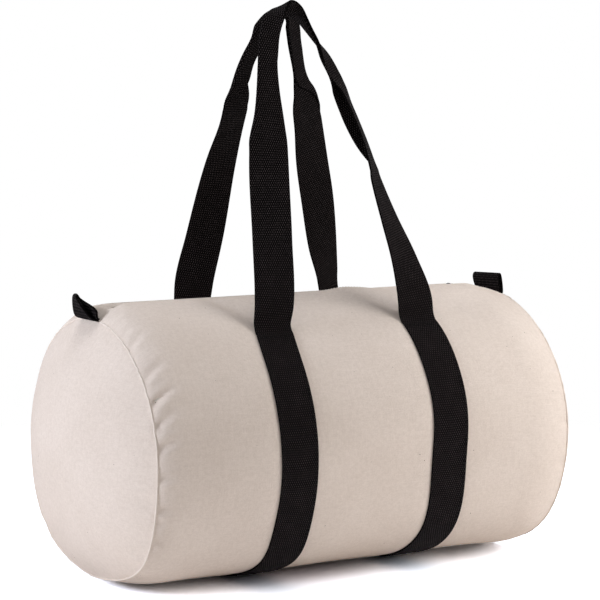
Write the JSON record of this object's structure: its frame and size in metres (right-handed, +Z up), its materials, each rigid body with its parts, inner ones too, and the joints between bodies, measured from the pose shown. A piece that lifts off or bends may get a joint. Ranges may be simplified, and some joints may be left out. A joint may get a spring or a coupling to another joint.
{
  "type": "barrel duffel bag",
  "caption": "Soft barrel duffel bag in natural cotton canvas, with webbing straps that run under the base and rise into two carrying handles, a zip along the crown and a loop tab at each end.",
  "frame": {"origin": "on the floor, under the middle of the bag", "axes": "+X along the barrel towards the end where the closed zip's slider lies, +Y from the front to the back, +Z up from the floor to the handles"},
  "size_m": [0.5166, 0.2878, 0.5452],
  "materials": {
    "canvas": "undyed cotton canvas in plain weave, matt",
    "binding": "cotton bias tape, matt",
    "webbing": "black cotton webbing with a ribbed weave, matt",
    "zip_tape": "black woven tape",
    "zip_teeth": "black moulded teeth",
    "slider": "black enamel, satin"
  },
  "bodies": {
    "bag": {"main_panel": "canvas", "left_end_panel": "canvas", "right_end_panel": "canvas", "left_seam_binding": "binding", "right_seam_binding": "binding", "left_girth_strap": "webbing", "right_girth_strap": "webbing"},
    "front_lip": {"front_mouth_lip": "canvas", "front_zip_tape": "zip_tape", "front_zip_teeth": "zip_teeth"},
    "rear_lip": {"rear_mouth_lip": "canvas", "rear_zip_tape": "zip_tape", "rear_zip_teeth": "zip_teeth"},
    "slider": {"zip_slider": "slider", "zip_bridge": "slider"},
    "puller": {"zip_puller": "slider"},
    "front_handle_loop": {"front_handle": "webbing"},
    "rear_handle_loop": {"rear_handle": "webbing"},
    "left_tab": {"left_end_tab": "webbing"},
    "right_tab": {"right_end_tab": "webbing"}
  },
  "joints": [
    {"name": "zip_slide", "type": "slide", "parent": "bag", "child": "slider", "axis": [-1, 0, 0], "range_m": [0, 0.33], "deforming": ["front_zip_tape", "rear_zip_tape", "front_zip_teeth", "rear_zip_teeth"]},
    {"name": "puller_swing", "type": "hinge", "parent": "slider", "child": "puller", "pos_m": [0.1698, 0, 0.2617], "axis": [0, 1, 0], "range_deg": [0, 175]},
    {"name": "front_lip_fold", "type": "hinge", "parent": "bag", "child": "front_lip", "pos_m": [0, -0.058, 0.25335], "axis": [1, 0, 0], "range_deg": [0, 66]},
    {"name": "rear_lip_fold", "type": "hinge", "parent": "bag", "child": "rear_lip", "pos_m": [0, 0.058, 0.25335], "axis": [-1, 0, 0], "range_deg": [0, 66]},
    {"name": "front_handle_fold", "type": "hinge", "parent": "bag", "child": "front_handle_loop", "pos_m": [0, -0.08744, 0.24074], "axis": [1, 0, 0], "range_deg": [0, 125]},
    {"name": "rear_handle_fold", "type": "hinge", "parent": "bag", "child": "rear_handle_loop", "pos_m": [0, 0.08744, 0.24074], "axis": [-1, 0, 0], "range_deg": [0, 125]},
    {"name": "left_tab_bend", "type": "hinge", "parent": "bag", "child": "left_tab", "pos_m": [-0.22115, 0, 0.2543], "axis": [0, -1, 0], "range_deg": [-15, 35], "stiffness_Nm_per_rad": 0.02},
    {"name": "right_tab_bend", "type": "hinge", "parent": "bag", "child": "right_tab", "pos_m": [0.22115, 0, 0.2543], "axis": [0, 1, 0], "range_deg": [-15, 35], "stiffness_Nm_per_rad": 0.02}
  ],
  "couplings": [
    {"joint": "front_lip_fold", "follows": "zip_slide", "rad_per_m": 3.4378},
    {"joint": "rear_lip_fold", "follows": "zip_slide", "rad_per_m": 3.4378}
  ]
}
